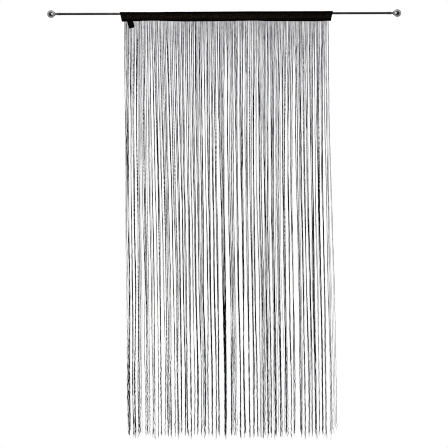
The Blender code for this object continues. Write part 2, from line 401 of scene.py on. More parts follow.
def tape_finish(name, dark, light, rib_pitch, course_pitch, painted_shade_heights=None):
    """Knitted tape. It reads the cloth's own UV in metres: U along the tape, V across it.

    painted_shade_heights gives four heights: below the first and above the last of them the tape is painted
    darker, as painted shade.
    """
    material, tree, shader = new_material(name, dark, 0.9, specular=0.0)
    uv = add(tree, "ShaderNodeUVMap", {"uv_map": "cloth"}).outputs[0]
    split = add(tree, "ShaderNodeSeparateXYZ", Vector=uv)
    ribs = calc(tree, "MULTIPLY", split.outputs["X"], math.tau / rib_pitch)
    courses = calc(tree, "MULTIPLY", split.outputs["Y"], math.tau / course_pitch)
    loops = calc(tree, "MULTIPLY", calc(tree, "SINE", ribs), calc(tree, "SINE", courses))
    rib = calc(tree, "ABSOLUTE", calc(tree, "SINE", calc(tree, "MULTIPLY", ribs, 0.5)))
    place = add(tree, "ShaderNodeTexCoord").outputs["Object"]
    fuzz = stretched_noise(tree, place, (1100, 1100, 1100), 3.0)
    height = calc(tree, "ADD", calc(tree, "ADD", rib, calc(tree, "MULTIPLY", loops, 0.5)), fuzz)
    bump(tree, shader, height, 0.8, 0.0005)
    specks = stretched_noise(tree, place, (240, 240, 240), 1.0, 0.6)
    shade = calc(tree, "ADD", specks, calc(tree, "MULTIPLY", loops, 0.07))
    colour = ramp(tree, shade, (0.45, dark), (0.61, light))
    # Painted shade: the tape's colour fades to a darker copy below the first height and above the last.
    if painted_shade_heights:
        z = add(tree, "ShaderNodeSeparateXYZ", Vector=place).outputs["Z"]
        rising = in_step(tree, z, painted_shade_heights[0], painted_shade_heights[1])
        falling = in_step(tree, z, painted_shade_heights[3], painted_shade_heights[2])
        blend = add(tree, "ShaderNodeMix", {"data_type": "RGBA"})
        feed(tree, blend.inputs[0], calc(tree, "MULTIPLY", rising, falling))
        feed(tree, blend.inputs[6], (*[c * 0.6 for c in dark], 1))
        feed(tree, blend.inputs[7], colour)
        colour = blend.outputs[2]
    tree.links.new(colour, shader.inputs["Base Color"])
    return material


def metal_finish(name, colour, roughness, brush):
    """Plated steel with fine marks that run along X where it was drawn, or round X where it was turned."""
    material, tree, shader = new_material(name, colour, roughness, metallic=1.0)
    shader.inputs["Specular Tint"].default_value = (0.35, 0.35, 0.36, 1)
    place = add(tree, "ShaderNodeTexCoord").outputs["Object"]
    marks = stretched_noise(tree, place, brush, 4.0, 0.6)
    wear = stretched_noise(tree, place, (55, 90, 90), 3.0)
    rough = add(tree, "ShaderNodeMapRange", Value=calc(tree, "ADD", marks, wear))
    rough.inputs["From Min"].default_value = 0.7
    rough.inputs["From Max"].default_value = 1.35
    rough.inputs["To Min"].default_value = roughness * 0.8
    rough.inputs["To Max"].default_value = roughness * 1.3
    tree.links.new(rough.outputs[0], shader.inputs["Roughness"])
    tint = tuple(c * 0.8 for c in colour)
    tree.links.new(ramp(tree, wear, (0.35, tint), (0.65, colour)), shader.inputs["Base Color"])
    bump(tree, shader, marks, 0.25, 0.00006)
    return material


# The yarn's second pair of colours is painted light near the heading and the tips.
YARN = yarn_finish(
    "black_yarn",
    (0.002, 0.002, 0.003),
    (0.006, 0.006, 0.009),
    2.2 * MM,
    painted_light_tint=((0.004, 0.0038, 0.010), (0.024, 0.019, 0.070)),
)
THREAD = yarn_finish("sewing_thread", (0.003, 0.003, 0.003), (0.010, 0.009, 0.008), 0.8 * MM)
# The heading tape is painted darker over the rod and along its lower edge, as painted shade.
TAPE = tape_finish(
    "knitted_tape",
    (0.0010, 0.0008, 0.0008),
    (0.0145, 0.0095, 0.0072),
    2.4 * MM,
    1.7 * MM,
    painted_shade_heights=(-34 * MM, -16 * MM, -13 * MM, 6 * MM),
)
TAB_TAPE = tape_finish("woven_tab", (0.001, 0.001, 0.001), (0.004, 0.004, 0.004), 1.1 * MM, 0.8 * MM)
ROD_STEEL = metal_finish("drawn_steel", (0.24, 0.24, 0.25), 0.26, (6, 2600, 2600))
FINIAL_STEEL = metal_finish("turned_steel", (0.52, 0.52, 0.53), 0.14, (2400, 40, 40))


def finished(piece, material_slot, *nodes):
    """The piece rides on the part's one body and stands for these nodes. The material slot is not used."""
    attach(piece, "root")
    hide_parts(*nodes)
    return piece


# ---------------------------------------------------------------- rod and finials


def turned(name, profile, material, sides=96):
    """A solid turned about X from (x, radius) pairs, shaded smooth with its sharp edges kept."""
    bm = bmesh.new()
    chain = [bm.verts.new((x, 0, r)) for x, r in profile]
    edges = [bm.edges.new(pair) for pair in zip(chain, chain[1:])]
    bmesh.ops.spin(
        bm, geom=chain + edges, cent=(0, 0, 0), axis=(1, 0, 0), angle=math.tau, steps=sides
    )
    bmesh.ops.remove_doubles(bm, verts=bm.verts, dist=0.005 * MM)
    bmesh.ops.recalc_face_normals(bm, faces=bm.faces)
    mesh = bpy.data.meshes.new(name)
    bm.to_mesh(mesh)
    bm.free()
    mesh.materials.append(material)
    mesh.shade_smooth()
    mesh.set_sharp_from_angle(angle=math.radians(40))
    return new_object(name, mesh)


def build_rod():
    bore = ROD_RADIUS - ROD_WALL
    wall = [
        (-ROD_END, bore),
        (-ROD_END, ROD_RADIUS - ROD_LIP),
        (-ROD_END + ROD_LIP, ROD_RADIUS),
        (ROD_END - ROD_LIP, ROD_RADIUS),
        (ROD_END, ROD_RADIUS - ROD_LIP),
        (ROD_END, bore),
    ]
    return turned("rod_tube", wall + wall[:1], ROD_STEEL)


def rounded(x_from, x_to, radius, edge, steps=4):
    """(x, radius) pairs for a band whose two edges are rounded."""
    turn = [math.pi / 2 * k / steps for k in range(steps + 1)]
    near = [(x_from + edge * (1 - math.sin(a)), radius - edge * (1 - math.cos(a))) for a in reversed(turn)]
    far = [(x_to - edge * (1 - math.sin(a)), radius - edge * (1 - math.cos(a))) for a in turn]
    return near + far


def finial_profile(ball_steps=40):
    """From the spigot in the tube, over the collar, groove, bead and flare, to the ball's far pole."""
    spigot = ROD_RADIUS - ROD_WALL - FIT
    tip = ROD_END - SPIGOT_LENGTH
    collar = ROD_END + FIT
    bead = collar + BEAD_START
    groove = collar + COLLAR_LENGTH
    flare = groove + NECK[-1].after_mm * MM
    profile = [(tip, 0), (tip, spigot - SPIGOT_CHAMFER), (tip + SPIGOT_CHAMFER, spigot)]
    profile += [(collar, spigot), (collar, COLLAR_RADIUS - 1.0 * MM)]
    profile += rounded(collar, bead - 0.8 * MM, COLLAR_RADIUS, 0.7 * MM)
    profile += [(bead - 0.4 * MM, BEAD_RADIUS - 1.3 * MM)]
    profile += rounded(bead, groove, BEAD_RADIUS, 1.6 * MM)
    profile += [(groove + step.after_mm * MM, step.radius_mm * MM) for step in NECK]
    profile += [(mix(flare, BALL_START, 0.35), 7.6 * MM), (mix(flare, BALL_START, 0.75), 8.8 * MM)]
    start = math.asin(FLARE_RADIUS / BALL_RADIUS)
    for k in range(ball_steps):
        a = mix(start, math.pi, k / ball_steps)
        profile.append((BALL_CENTRE - BALL_RADIUS * math.cos(a), BALL_RADIUS * math.sin(a)))
    return profile + [(BALL_CENTRE + BALL_RADIUS, 0)]


def build_finials():
    right = turned("finial_right_turned", finial_profile(), FINIAL_STEEL)
    right.data.materials.append(ROD_STEEL)
    for face in right.data.polygons:
        face.material_index = 1 if face.center.x < BALL_START else 0
    left = new_object("finial_left_turned", right.data.copy())
    left.data.transform(Matrix.Rotation(math.pi, 4, "Z"))
    return left, right


# ---------------------------------------------------------------- cloth


def runs_along(outline):
    """How far each point of an outline lies from its first one, along the outline."""
    runs = [0.0]
    for a, b in zip(outline, outline[1:]):
        runs.append(runs[-1] + math.dist(a, b))
    return runs


def cloth_mesh(name, places, spots, material):
    """A smooth sheet over columns of places. The spots give the cloth's own UV there, in metres."""
    bm = bmesh.new()
    uv_layer = bm.loops.layers.uv.new("cloth")
    grid = [[bm.verts.new(place) for place in column] for column in places]
    for k in range(len(grid) - 1):
        for i in range(len(grid[0]) - 1):
            corners = ((k, i), (k + 1, i), (k + 1, i + 1), (k, i + 1))
            face = bm.faces.new([grid[a][b] for a, b in corners])
            for loop, (a, b) in zip(face.loops, corners):
                loop[uv_layer].uv = spots[a][b]
    mesh = bpy.data.meshes.new(name)
    bm.to_mesh(mesh)
    bm.free()
    mesh.materials.append(material)
    mesh.shade_smooth()
    return mesh


def walled(name, mesh, thickness):
    """The sheet with its thickness, which lies inside the surface that it was drawn on."""
    cloth = new_object(name, mesh)
    front = min(mesh.polygons, key=lambda face: face.center.y)
    wall = cloth.modifiers.new("cloth", "SOLIDIFY")
    wall.thickness = thickness
    wall.offset = -1.0 if front.normal.y < 0 else 1.0
    return settled(cloth)


# ---------------------------------------------------------------- heading


def edges_at(along):
    """How far the heading reaches above and below the rod's axis at this share of its width."""
    along = min(max(along, 0.0), 1.0)
    for a, b in zip(HEADING_EDGES, HEADING_EDGES[1:]):
        if along <= b.along:
            break
    t = smooth_step((along - a.along) / (b.along - a.along))
    return mix(a.rise_mm, b.rise_mm, t) * MM, mix(a.drop_mm, b.drop_mm, t) * MM


def drop_at(x):
    """The heading's lower edge, below the rod's axis, at this X."""
    left, right = HEADING_LOW.x + END_SLANT, HEADING_HIGH.x - END_SLANT
    return edges_at((x - left) / (right - left))[1]


def tape_outline(rise, drop):
    """(y, z) of the tape's outer face, from its back lower edge over the rod to its front lower edge."""
    arc = [math.pi / 2 * k / 10 for k in range(11)]
    front = [(-SLEEVE_HALF * math.sin(a), rise * math.cos(a)) for a in arc]
    for k in range(1, 15):
        t = k / 14
        front.append((-mix(SLEEVE_HALF, BAND_HALF, smooth_step(t)), -(drop - BAND_DEPTH) * t))
    for k in range(1, 7):
        front.append((-BAND_HALF, mix(-(drop - BAND_DEPTH), -drop, k / 6)))
    back = [(-y, z) for y, z in reversed(front) if abs(y) > 0.001 * MM]
    return back + front


def pucker(x, z, rise):
    """How far the tape stands out of its smooth shape: strings pull it in, and it is slack between them."""
    slack = 0.5 + 0.5 * noise.noise(Vector((x / (11 * MM), z / (30 * MM), 3.7)))
    fine = noise.noise(Vector((x / (4 * MM), z / (7 * MM), 9.1)))
    on_rod = max(0.0, 1 - abs(z) / rise) if z > -rise else 0.0
    return (0.7 * slack + 0.15 * fine) * MM * (1 - 0.7 * on_rod)


def build_heading():
    places, spots = [], []
    for k in range(HEADING_STATIONS + 1):
        along = k / HEADING_STATIONS
        rise, drop = edges_at(along)
        outline = tape_outline(rise, drop)
        column = []
        for y, z in outline:
            inward = END_SLANT * (rise - z) / (rise + drop)
            x = mix(HEADING_LOW.x + inward, HEADING_HIGH.x - inward, along)
            out = pucker(x, z + (BACK_APART if y > 0 else 0), rise)
            sag = 0.8 * MM * noise.noise(Vector((x / (16 * MM), 5.0, y * 40))) * max(0.0, -z / drop)
            side = Vector((0, y * 3, z)).normalized() if z > 0 else Vector((0, math.copysign(1, y), 0))
            column.append(Vector((x, y, z + sag)) + side * out)
        places.append(column)
        spots.append([(place.x, run) for place, run in zip(column, runs_along(outline))])
    return walled("heading_tape", cloth_mesh("heading_tape", places, spots, TAPE), CLOTH)


# ---------------------------------------------------------------- seams


def stitch_tree(material):
    """Short stitches, a little uneven, laid end to end along each line of the guide."""
    tree, size = growing_tree(
        "Stitches", Pitch=3 * MM, Length=2.2 * MM, Thickness=0.28 * MM, Lean=0.12, Seed=7
    )
    curve = add(tree, "GeometryNodeMeshToCurve", Mesh=size["Geometry"]).outputs[0]
    points = add(tree, "GeometryNodeCurveToPoints", {"mode": "LENGTH"}, Curve=curve, Length=size["Pitch"])
    half = calc(tree, "MULTIPLY", size["Length"], 0.5)
    arch = add(tree, "GeometryNodeCurvePrimitiveBezierSegment", Resolution=4)
    start = add(tree, "ShaderNodeCombineXYZ", Z=calc(tree, "MULTIPLY", half, -1)).outputs[0]
    end = add(tree, "ShaderNodeCombineXYZ", Z=half).outputs[0]
    lift = calc(tree, "MULTIPLY", size["Thickness"], 1.6)
    feed(tree, arch.inputs["Start"], start)
    feed(tree, arch.inputs["End"], end)
    for label, factor in (("Start Handle", -0.6), ("End Handle", 0.6)):
        handle = add(tree, "ShaderNodeCombineXYZ", Y=lift, Z=calc(tree, "MULTIPLY", half, factor))
        feed(tree, arch.inputs[label], handle.outputs[0])
    ring = add(
        tree,
        "GeometryNodeCurvePrimitiveCircle",
        Resolution=4,
        Radius=calc(tree, "MULTIPLY", size["Thickness"], 0.5),
    )
    stitch = add(
        tree, "GeometryNodeCurveToMesh", Curve=arch.outputs[0], Profile_Curve=ring.outputs[0], Fill_Caps=True
    )
    index = add(tree, "GeometryNodeInputIndex").outputs[0]
    lean = random_value(tree, calc(tree, "MULTIPLY", size["Lean"], -1), size["Lean"], index, size["Seed"])
    tilt = add(tree, "ShaderNodeCombineXYZ", Y=lean).outputs[0]
    turned_by = add(tree, "FunctionNodeRotateRotation", {"rotation_space": "LOCAL"})
    feed(tree, turned_by.inputs[0], points.outputs["Rotation"])
    feed(tree, turned_by.inputs[1], tilt)
    stretch = random_value(tree, 0.85, 1.1, index, size["Seed"], 1)
    placed = add(
        tree,
        "GeometryNodeInstanceOnPoints",
        Points=points.outputs[0],
        Instance=stitch.outputs[0],
        Rotation=turned_by.outputs[0],
        Scale=stretch,
    )
    end_tree(tree, placed.outputs[0], material)
    return tree


def seam_line(above_edge, side, step=4 * MM):
    """Points along the heading's band, on its front (-1) or back (1) face."""
    left = HEADING_LOW.x + END_SLANT + SEAM_INSET
    right = HEADING_HIGH.x - END_SLANT - SEAM_INSET
    count = int((right - left) / step)
    line = []
    for k in range(count + 1):
        x = mix(left, right, k / count)
        z = -drop_at(x) + above_edge + 0.25 * MM * math.sin(x / (23 * MM))
        rise, drop = edges_at((x - left) / (right - left))
        out = BAND_HALF + pucker(x, z + (BACK_APART if side > 0 else 0), rise)
        line.append((x, side * (out + 0.05 * MM), z))
    return line


def build_seams():
    """Two rows of stitches close the band on the strings, on the front and on the back."""
    lines = [seam_line(above, side) for above in SEAM_ROWS for side in (-1, 1)]
    return grow("heading_stitches", lines_mesh("seams", lines), stitch_tree(THREAD))


# ---------------------------------------------------------------- tab


def build_tab(across=14, down=16, fold_steps=6):
    """One short tape folded double, which hangs askew from the seam near the heading's left end."""
    radius = TAB_BETWEEN / 2 + TAB_LAYER
    fold = [math.pi * k / fold_steps for k in range(fold_steps + 1)]
    section = [(0.0, mix(TAB_LENGTH, radius, k / down)) for k in range(down)]
    section += [(-radius + radius * math.cos(a), radius - radius * math.sin(a)) for a in fold]
    section += [(-2 * radius, mix(radius, TAB_LENGTH, k / down)) for k in range(1, down + 1)]
    runs = runs_along(section)
    places, spots = [], []
    for k in range(across + 1):
        column = []
        for y, z in section:
            up = z / TAB_LENGTH
            x = mix(TAB_WIDTH, TAB_FLARE * TAB_WIDTH, up) * (k / across - 0.5)
            curl = 1.6 * MM * (x / (TAB_WIDTH / 2)) ** 2 * (1 - up)
            column.append((x + 0.3 * MM * math.sin(z / (4 * MM)), y - curl, z))
        places.append(column)
        spots.append([(TAB_WIDTH * k / across, run) for run in runs])
    mesh = cloth_mesh("tab_tape", places, spots, TAB_TAPE)
    turn = Matrix.Rotation(-TAB_TILT, 4, "Y")
    mesh.transform(Matrix.Translation((TAB_LOW_X, TAB_HIGH.y, TAB_LOW_Z)) @ turn)
    return walled("tab_tape", mesh, TAB_LAYER)


# ---------------------------------------------------------------- strings

Bundle = namedtuple("Bundle", "left right centre room")


def all_bundles():
    """Each bundle's stretch of the fringe's lower edge, and the room between the gaps at its sides."""
    found = []
    before, gap_before = FRINGE_LOW_LEFT, 0.0
    for row in PARTINGS:
        low = row.low_mm * MM
        for k in range(row.bundles):
            left = mix(before, low, k / row.bundles)
            right = mix(before, low, (k + 1) / row.bundles)
            near = gap_before / 2 if k == 0 else SMALL_GAP / 2
            far = row.open_mm * MM / 2 if k == row.bundles - 1 else SMALL_GAP / 2
            found.append(Bundle(left, right, (left + near + right - far) / 2, right - left - near - far))
        before, gap_before = low, row.open_mm * MM
    return found


FALL = np.linspace(0, 1, HANG_STEPS + 1)[:, None]
EASED_FALL = smooth_step(FALL)
FRINGE_TOP = -drop_at(0) + CAUGHT
FRINGE_LENGTH = FRINGE_TOP - FRINGE_LOW.z


def drift(rng, things, kind):
    """A slow random drift of each thing at every step of the fall."""
    knots = rng.normal(0, kind.amount, (int(FRINGE_LENGTH / kind.spacing) + 3, things))
    place = FALL[:, 0] * FRINGE_LENGTH / kind.spacing
    below = place.astype(int)
    t = smooth_step(place - below)[:, None]
    return mix(knots[below], knots[below + 1], t)


def growing_from(length):
    """0 at the heading, and close to 1 once the strings have fallen a few times this length."""
    return 1 - np.exp(-FALL * FRINGE_LENGTH / length)


def hang_strings():
    """The place of every string at every step of its fall, as steps x strings x 3.

    The strings leave the heading at an even pitch. Just below it they cling to their neighbours in
    small clusters, and lower down the clusters close up into the bundles. Some strings stay loose
    between the bundles, and a few stray.
    """
    rng = np.random.default_rng(HANG_SEED)
    share = (np.arange(STRINGS) + 0.5 + rng.uniform(-0.25, 0.25, STRINGS)) / STRINGS
    top = mix(FRINGE_TOP_LEFT, FRINGE_TOP_RIGHT, share)
    low = np.interp(share, [s.share for s in SPREADS], [s.low_mm for s in SPREADS]) * MM
    loose = (rng.random(STRINGS) < LOOSE_SHARE) | (share > LOOSE_EDGE)

    # Which cluster and which bundle each string belongs to.
    bundles = all_bundles()
    left = np.array([b.left for b in bundles])
    right = np.array([b.right for b in bundles])
    centre = np.array([b.centre for b in bundles])
    room = np.array([b.room for b in bundles])
    breaks = (np.arange(1, CLUSTERS) + rng.uniform(-0.36, 0.36, CLUSTERS - 1)) * STRINGS / CLUSTERS
    cluster = np.searchsorted(breaks, np.arange(STRINGS) + 0.5)
    members = [np.flatnonzero(cluster == c) for c in range(CLUSTERS)]
    cluster_low = np.array([low[m].mean() for m in members])
    led_by = np.where(loose, low, cluster_low[cluster])
    bundle = np.minimum(np.searchsorted(right, led_by), len(bundles) - 1)

    # Each bundle drifts about its own line, and its strings fill a changing share of its room.
    straight = mix(top, low, EASED_FALL)
    centre_share = (centre - FRINGE_LOW_LEFT) / (FRINGE_LOW_RIGHT - FRINGE_LOW_LEFT)
    centre_now = mix(mix(FRINGE_TOP_LEFT, FRINGE_TOP_RIGHT, centre_share), centre, EASED_FALL)
    offset = drift(rng, len(bundles), BUNDLE_DRIFT) + rng.uniform(-0.08, 0.08, len(bundles)) * room
    fill = rng.uniform(-0.10, 0.50, len(bundles)) + drift(rng, len(bundles), FILL_DRIFT)
    fill = np.clip(fill, 0.02, 1.2) * (1 - 0.6 * EASED_FALL)
    fill = np.where(loose, rng.uniform(0.6, 1.4, STRINGS), fill[:, bundle])
    width = np.where(loose, (right - left)[bundle], room[bundle])
    local = (low - left[bundle]) / (right - left)[bundle] - 0.5
    drawn_in = centre_now[:, bundle] + offset[:, bundle] + local * width * fill
    x = straight + (drawn_in - straight) * growing_from(GATHER_LENGTH) * 0.95

    # Then each string clings to its cluster, wanders off it, and in some places strays.
    middle = np.stack([x[:, m].mean(axis=1) for m in members], axis=1)
    cling = np.clip(1 + drift(rng, CLUSTERS, CLING_DRIFT), 0, 1.6)[:, cluster] * growing_from(CLING_LENGTH)
    cling = np.clip(cling * 0.84, 0, 0.97) * np.where(loose, LOOSE_CLING, 1)
    x += (middle[:, cluster] - x) * cling
    own_drift = drift(rng, STRINGS, OWN_DRIFT) * np.where(loose, 1, 0.78)
    own_drift = own_drift * (1 - 0.3 * EASED_FALL)
    x += (drift(rng, CLUSTERS, CLUSTER_DRIFT)[:, cluster] + own_drift) * growing_from(DRIFT_LENGTH)
    stray = (rng.random(STRINGS) < STRAY_SHARE) * rng.normal(0, STRAY_REACH, STRINGS)
    x += stray * smooth_step(np.clip((FALL - 0.05) / 0.8, 0, 1))

    layer = (np.arange(STRINGS) * 0.618) % 1 - 0.5  # neighbours lie at different depths
    depth = drift(rng, len(bundles), BUNDLE_DEPTH)[:, bundle] + layer * 6 * MM
    y = (depth + drift(rng, STRINGS, OWN_DEPTH)) * growing_from(DEPTH_LENGTH)
    ends = FRINGE_LOW.z + np.clip(rng.normal(TIPS_MEAN, TIPS_UNEVEN, STRINGS), 0, TIPS_RANGE)
    starts = np.array([-drop_at(place) for place in top]) + CAUGHT
    return np.stack([x, y, mix(starts, ends, FALL)], axis=2)


def entwined_pairs(paths):
    """Draws some neighbouring strings onto their common line. Returns which strings these are.

    The left quarter of the fringe has more of them.
    """
    rng = np.random.default_rng(HANG_SEED + 1)
    chance = 1 + 3 * (np.arange(STRINGS) < STRINGS * 0.24)
    firsts = []
    while len(firsts) < ENTWINED_PAIRS:
        k = rng.choice(STRINGS - 3, p=chance[:-3] / chance[:-3].sum()) + 1
        if all(abs(k - other) > 2 for other in firsts):
            firsts.append(k)
    wound = []
    for k in sorted(firsts):
        paths[:, k : k + 2, :2] = paths[:, k : k + 2, :2].mean(axis=1, keepdims=True)
        wound += [k, k + 1]
    return wound


def tuft(tree, seed):
    """A few frayed fibres that hang from the origin."""
    fibre = add(
        tree,
        "GeometryNodeMeshCone",
        {"fill_type": "TRIANGLE_FAN"},
        Vertices=3,
        Side_Segments=1,
        Radius_Top=0.03 * MM,
        Radius_Bottom=0.17 * MM,
        Depth=9 * MM,
    )
    hung = add(tree, "GeometryNodeTransform", Geometry=fibre.outputs["Mesh"], Rotation=(math.pi, 0, 0))
    roots = add(tree, "GeometryNodeMeshCircle", Vertices=5, Radius=0.4 * MM)
    index = add(tree, "GeometryNodeInputIndex").outputs[0]
    lean = add(
        tree,
        "ShaderNodeCombineXYZ",
        X=random_value(tree, -0.5, 0.5, index, seed, 5),
        Y=random_value(tree, -0.5, 0.5, index, seed, 6),
        Z=random_value(tree, 0, math.tau, index, seed, 7),
    ).outputs[0]
    spread = add(
        tree,
        "GeometryNodeInstanceOnPoints",
        Points=roots.outputs[0],
        Instance=hung.outputs[0],
        Rotation=lean,
        Scale=random_value(tree, 0.5, 1.2, index, seed, 8),
    )
    return add(tree, "GeometryNodeRealizeInstances", Geometry=spread.outputs[0]).outputs[0]


def loose_hairs(tree, curve, share, seed):
    """Fine hairs of yarn that stand out from the strands at a share of the curve's points."""
    hair = add(
        tree,
        "GeometryNodeMeshCone",
        {"fill_type": "NGON"},
        Vertices=3,
        Side_Segments=1,
        Radius_Top=0.0,
        Radius_Bottom=0.24 * MM,
        Depth=16 * MM,
    )
    index = add(tree, "GeometryNodeInputIndex").outputs[0]
    drawn = random_value(tree, 0, 1, index, seed, 12)
    lean = add(
        tree,
        "ShaderNodeCombineXYZ",
        X=calc(tree, "ADD", math.pi, random_value(tree, -0.4, 0.4, index, seed, 13)),
        Y=random_value(tree, -0.4, 0.4, index, seed, 14),
    ).outputs[0]
    return add(
        tree,
        "GeometryNodeInstanceOnPoints",
        Points=curve,
        Selection=calc(tree, "LESS_THAN", drawn, share),
        Instance=hair.outputs["Mesh"],
        Rotation=lean,
        Scale=random_value(tree, 0.5, 1.5, index, seed, 15),
    )


def shared_wobble(tree, place, across, along, reach):
    """A wobble that strands side by side have in common. The scales are in waves a metre."""
    spot = vector_calc(tree, "MULTIPLY", place, (across, 0, along))
    noise = add(tree, "ShaderNodeTexNoise", Vector=spot, Scale=1.0, Detail=1.0).outputs["Color"]
    wobble = add(tree, "ShaderNodeVectorMath", {"operation": "SCALE"}, Scale=calc(tree, "MULTIPLY", reach, 4))
    feed(tree, wobble.inputs[0], vector_calc(tree, "SUBTRACT", noise, (0.5, 0.5, 0.5)))
    return wobble.outputs[0]


def circling(tree, angle, radius, fall=0.0):
    """An offset that goes round the string's own line."""
    return add(
        tree,
        "ShaderNodeCombineXYZ",
        X=calc(tree, "MULTIPLY", calc(tree, "COSINE", angle), radius),
        Y=calc(tree, "MULTIPLY", calc(tree, "SINE", angle), radius),
        Z=fall,
    ).outputs[0]


def string_tree(material):
    """One round strand along each line of the guide, a little uneven, with a curled and frayed tip.

    With a Twist Radius, strings 0 and 1, 2 and 3 and so on wind round each other.
    """
    tree, size = growing_tree(
        "Strings",
        Segments=225,
        Sides=4,
        Diameter=STRING_DIAMETER,
        Slub=1.2,
        Wander=1.0 * MM,
        Crinkle=1.8 * MM,
        Hairs=0.16,
        Curl=4.0 * MM,
        Twist_Radius=0.0,
        Twist_Pitch=32 * MM,
        Seed=11,
    )
    seed = size["Seed"]
    curve = add(tree, "GeometryNodeMeshToCurve", Mesh=size["Geometry"]).outputs[0]
    curve = add(tree, "GeometryNodeCurveSplineType", {"spline_type": "CATMULL_ROM"}, Curve=curve).outputs[0]
    even = add(tree, "GeometryNodeResampleCurve", Curve=curve, Count=size["Segments"]).outputs[0]
    strand = add(tree, "GeometryNodeCurveOfPoint").outputs["Curve Index"]
    along = add(tree, "GeometryNodeSplineParameter")
    place = add(tree, "GeometryNodeInputPosition").outputs[0]
    length = along.outputs["Length"]
    down = along.outputs["Factor"]

    # The steps come closer together towards the tip, where the strand bends most.
    shift = calc(tree, "MULTIPLY", calc(tree, "MULTIPLY", down, calc(tree, "SUBTRACT", 1, down)), 0.4)
    closer = add(
        tree,
        "GeometryNodeSampleCurve",
        {"mode": "FACTOR"},
        Curves=curve,
        Factor=calc(tree, "ADD", down, shift),
        Curve_Index=strand,
    )
    curve = add(tree, "GeometryNodeSetPosition", Geometry=even, Position=closer.outputs["Position"])
    curve = curve.outputs[0]

    reach = calc(tree, "MULTIPLY", size["Wander"], in_step(tree, length, 0, 0.15))
    wander = shared_wobble(tree, place, 150, 20, reach)
    sharp = calc(tree, "MULTIPLY", size["Crinkle"], in_step(tree, down, 0.5, 1.0))
    crinkle = shared_wobble(tree, place, 180, 75, sharp)

    # The last few centimetres curl up a little, some far more than others.
    tip = in_step(tree, down, 0.978, 1.0)
    turn = calc(tree, "ADD", random_value(tree, 0, math.tau, strand, seed), calc(tree, "MULTIPLY", tip, 4.5))
    curl = random_value(tree, 0, 1, strand, seed, 1)
    curl = calc(tree, "MULTIPLY", calc(tree, "POWER", curl, 2), calc(tree, "MULTIPLY", size["Curl"], tip))
    hook = circling(tree, turn, curl, calc(tree, "MULTIPLY", curl, 0.5))

    # The two strings of a pair are half a turn apart, and wind unevenly.
    pair = calc(tree, "FLOOR", calc(tree, "DIVIDE", strand, 2))
    pitch = random_value(tree, 0.8, 1.3, pair, seed, 3)
    pitch = calc(tree, "MULTIPLY", pitch, size["Twist Pitch"])
    wound = calc(tree, "DIVIDE", calc(tree, "MULTIPLY", length, math.tau), pitch)
    wound = calc(tree, "ADD", wound, calc(tree, "MULTIPLY", strand, math.pi))
    uneven = calc(tree, "ADD", calc(tree, "MULTIPLY", length, 23), calc(tree, "MULTIPLY", pair, 2.3))
    wound = calc(tree, "ADD", wound, calc(tree, "MULTIPLY", calc(tree, "SINE", uneven), 2.2))
    slack = calc(tree, "SINE", calc(tree, "MULTIPLY", uneven, 0.43))
    slack = calc(tree, "ADD", calc(tree, "MULTIPLY", slack, 0.55), 1)
    slack = calc(tree, "MULTIPLY", slack, random_value(tree, 0.75, 1.4, pair, seed, 4))
    clear = calc(tree, "MULTIPLY", size["Twist Radius"], in_step(tree, length, 0.02, 0.2))
    twist = circling(tree, wound, calc(tree, "MULTIPLY", clear, slack))

    moved = vector_calc(tree, "ADD", wander, crinkle)
    moved = vector_calc(tree, "ADD", vector_calc(tree, "ADD", moved, hook), twist)
    curve = add(tree, "GeometryNodeSetPosition", Geometry=curve, Offset=moved).outputs[0]

    # Each strand has a thickness of its own, and slubs along it.
    half = calc(tree, "MULTIPLY", size["Diameter"], 0.5)
    own = random_value(tree, 0.91, 1.09, strand, seed, 2)
    apart = add(tree, "ShaderNodeCombineXYZ", X=calc(tree, "MULTIPLY", strand, 3.1)).outputs[0]
    spot = vector_calc(tree, "ADD", vector_calc(tree, "MULTIPLY", place, (1, 1, 85)), apart)
    slub = add(tree, "ShaderNodeTexNoise", Vector=spot, Scale=1.0, Detail=1.0).outputs[0]
    slub = calc(tree, "MULTIPLY", calc(tree, "SUBTRACT", slub, 0.5), size["Slub"])
    radius = calc(tree, "MULTIPLY", calc(tree, "MULTIPLY", half, own), calc(tree, "ADD", slub, 1))
    metres = add(tree, "GeometryNodeCaptureAttribute", Geometry=curve)
    metres.capture_items.new("FLOAT", "Metres")
    feed(tree, metres.inputs[1], length)
    ring = add(tree, "GeometryNodeCurvePrimitiveCircle", Resolution=size["Sides"], Radius=1.0).outputs[0]
    rim = add(tree, "GeometryNodeCaptureAttribute", Geometry=ring)
    rim.capture_items.new("FLOAT", "Round")
    feed(tree, rim.inputs[1], along.outputs["Factor"])
    strands = add(
        tree,
        "GeometryNodeCurveToMesh",
        Curve=metres.outputs[0],
        Profile_Curve=rim.outputs[0],
        Scale=radius,
        Fill_Caps=True,
    )
    uv = add(tree, "ShaderNodeCombineXYZ", X=rim.outputs[1], Y=metres.outputs[1]).outputs[0]
    mapped = add(
        tree,
        "GeometryNodeStoreNamedAttribute",
        {"data_type": "FLOAT2", "domain": "CORNER"},
        Geometry=strands.outputs[0],
        Name="strand",
    )
    feed(tree, next(s for s in mapped.inputs if s.name == "Value" and s.enabled), uv)
    smooth = add(tree, "GeometryNodeSetShadeSmooth", Geometry=mapped.outputs[0])

    ends = add(tree, "GeometryNodeCurveEndpointSelection", Start_Size=0, End_Size=1)
    spin = random_value(tree, 0, math.tau, strand, seed, 9)
    frayed = add(
        tree,
        "GeometryNodeInstanceOnPoints",
        Points=curve,
        Selection=ends.outputs[0],
        Instance=tuft(tree, seed),
        Rotation=add(tree, "ShaderNodeCombineXYZ", Z=spin).outputs[0],
        Scale=random_value(tree, 0.5, 1.4, strand, seed, 10),
    )
    hairs = loose_hairs(tree, curve, size["Hairs"], seed)
    joined = tree.nodes.new("GeometryNodeJoinGeometry")
    for part in (smooth, frayed, hairs):
        tree.links.new(part.outputs[0], joined.inputs[0])
    end_tree(tree, joined.outputs[0], material)
    return tree


